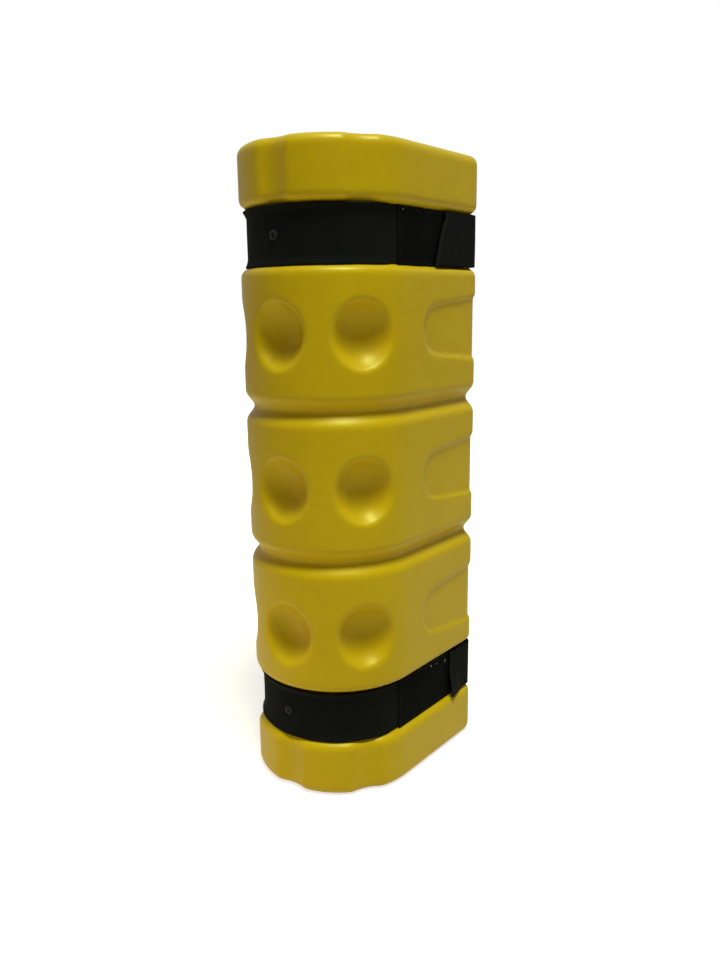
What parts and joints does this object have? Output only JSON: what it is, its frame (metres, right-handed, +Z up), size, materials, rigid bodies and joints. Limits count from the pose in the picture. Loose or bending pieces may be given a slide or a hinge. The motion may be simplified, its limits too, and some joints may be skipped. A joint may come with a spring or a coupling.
{
  "type": "rack upright protector",
  "caption": "Hollow moulded impact guard with a round dished nose, straight sides and a rear channel, tied to a storage rack's upright by hook-and-loop straps.",
  "frame": {"origin": "centre of the overall box, on the floor under the guard", "axes": "+Z up along the post, +Y towards the post's channel at the back, -Y out of the nose, +X to the right"},
  "size_m": [0.1868, 0.2116, 0.61],
  "materials": {
    "guard_plastic": "satin moulded polyethylene, safety yellow",
    "webbing": "black woven webbing with a napped loop face",
    "hook_tape": "black hook tape",
    "screw_black": "black coated steel"
  },
  "bodies": {
    "guard": {"guard_body": "guard_plastic", "upper_strap_front": "webbing", "lower_strap_front": "webbing", "upper_hook_patch": "hook_tape", "lower_hook_patch": "hook_tape", "upper_screw": "screw_black", "lower_screw": "screw_black"},
    "upper_strap": {"upper_strap_rear": "webbing"},
    "upper_tail": {"upper_strap_tail": "webbing"},
    "lower_strap": {"lower_strap_rear": "webbing"},
    "lower_tail": {"lower_strap_tail": "webbing"}
  },
  "joints": [
    {"name": "upper_strap_swing", "type": "hinge", "parent": "guard", "child": "upper_strap", "pos_m": [-0.07763, 0.1023, 0.5292], "axis": [0, 0, 1], "range_deg": [0, 75], "deforming": ["upper_strap_tail"]},
    {"name": "upper_tail_peel", "type": "hinge", "parent": "upper_strap", "child": "upper_tail", "pos_m": [0.08193, 0.1023, 0.5292], "axis": [0, 0, 1], "range_deg": [0, 115]},
    {"name": "lower_strap_swing", "type": "hinge", "parent": "guard", "child": "lower_strap", "pos_m": [-0.07763, 0.1023, 0.0808], "axis": [0, 0, 1], "range_deg": [0, 75], "deforming": ["lower_strap_tail"]},
    {"name": "lower_tail_peel", "type": "hinge", "parent": "lower_strap", "child": "lower_tail", "pos_m": [0.08193, 0.1023, 0.0808], "axis": [0, 0, 1], "range_deg": [0, 115]}
  ]
}
